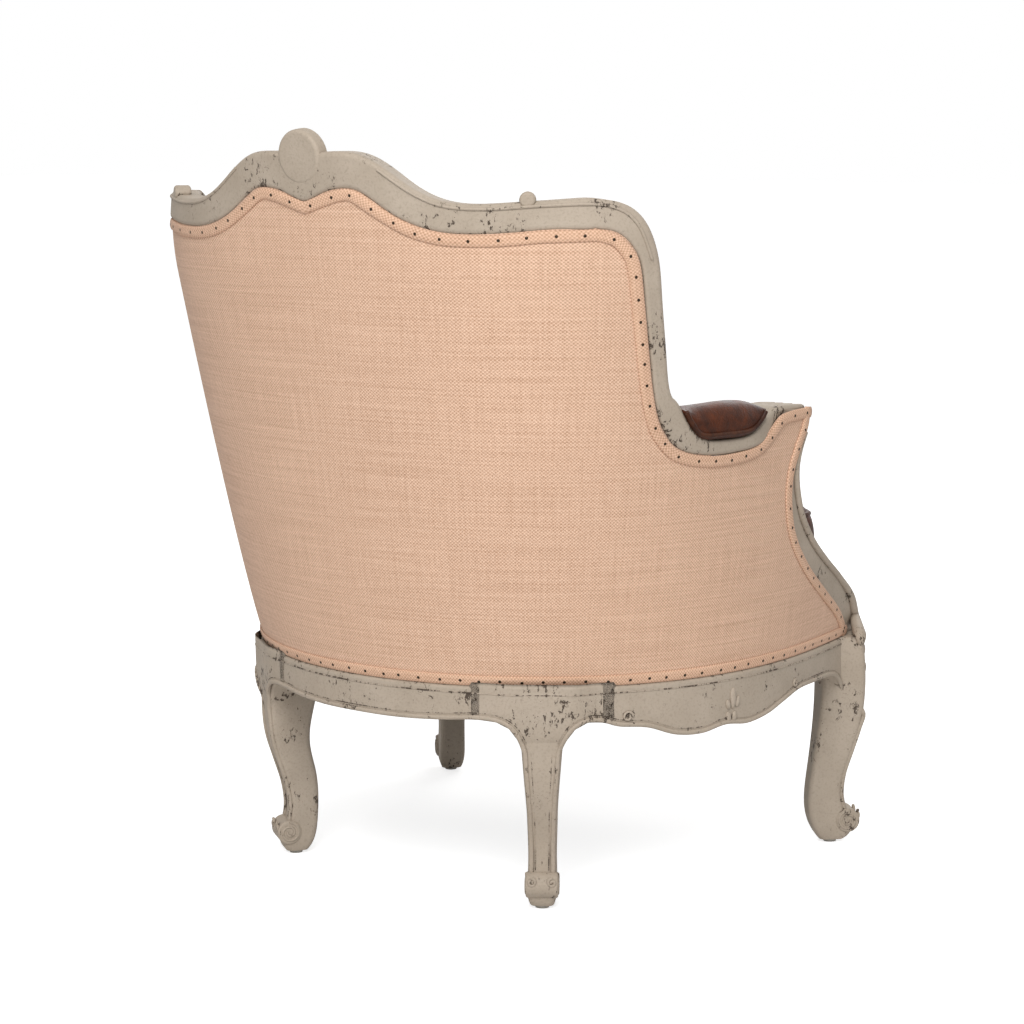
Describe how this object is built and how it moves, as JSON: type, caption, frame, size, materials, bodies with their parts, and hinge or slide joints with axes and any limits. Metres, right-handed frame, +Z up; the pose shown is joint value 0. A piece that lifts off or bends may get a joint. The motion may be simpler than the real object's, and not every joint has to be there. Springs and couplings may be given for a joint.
{
  "type": "upholstered tub armchair",
  "caption": "Tub-backed bergere armchair: carved painted show-wood frame on scroll-footed cabriole legs, hessian outside back, leather inside and a loose leather seat cushion.",
  "frame": {"origin": "on the floor, under the middle of the chair's bounding box", "axes": "+Z up; the sitter faces -Y; +X is the sitter's left"},
  "size_m": [0.8288, 0.81, 0.999],
  "materials": {
    "painted_beech": "chipped matt paint",
    "bare_beech": "bare",
    "hessian": "coarse plain weave",
    "hessian_tape": "folded and stitched",
    "leather": "waxed, creased",
    "foam": "open cell",
    "jute_webbing": "woven strap",
    "black_cambric": "thin cloth",
    "felt_glide": "felt",
    "screw_steel": "zinc plated"
  },
  "bodies": {
    "frame": {"arm_left": "painted_beech", "arm_pad_left": "leather", "arm_pad_right": "leather", "arm_right": "painted_beech", "arm_support_left": "painted_beech", "arm_support_right": "painted_beech", "back_stile_left": "painted_beech", "back_stile_right": "painted_beech", "back_webbing": "jute_webbing", "corner_block_screws": "screw_steel", "cover_tape": "hessian_tape", "crest_rail": "painted_beech", "dust_cover": "black_cambric", "foot_glides": "felt_glide", "front_corner_block_left": "bare_beech", "front_corner_block_right": "bare_beech", "front_leg_left": "painted_beech", "front_leg_right": "painted_beech", "front_seat_rail": "painted_beech", "inside_arm_lining_left": "leather", "inside_arm_lining_right": "leather", "inside_back_pad": "leather", "outside_arm_cover_left": "hessian", "outside_arm_cover_right": "hessian", "outside_back_cover": "hessian", "rail_dowels": "bare_beech", "rear_corner_block_left": "bare_beech", "rear_corner_block_right": "bare_beech", "rear_leg_left": "painted_beech", "rear_leg_right": "painted_beech", "rear_post_left": "bare_beech", "rear_post_right": "bare_beech", "rear_seat_rail": "painted_beech", "seat_deck": "leather", "seat_webbing": "jute_webbing", "side_seat_rail_left": "painted_beech", "side_seat_rail_right": "painted_beech"},
    "seat_cushion": {"seat_cushion_cover": "leather", "seat_cushion_core": "foam", "seat_cushion_piping": "leather"}
  },
  "joints": [
    {"name": "seat_cushion_lift", "type": "slide", "parent": "frame", "child": "seat_cushion", "axis": [0, 0, 1], "range_m": [0, 0.66]}
  ]
}
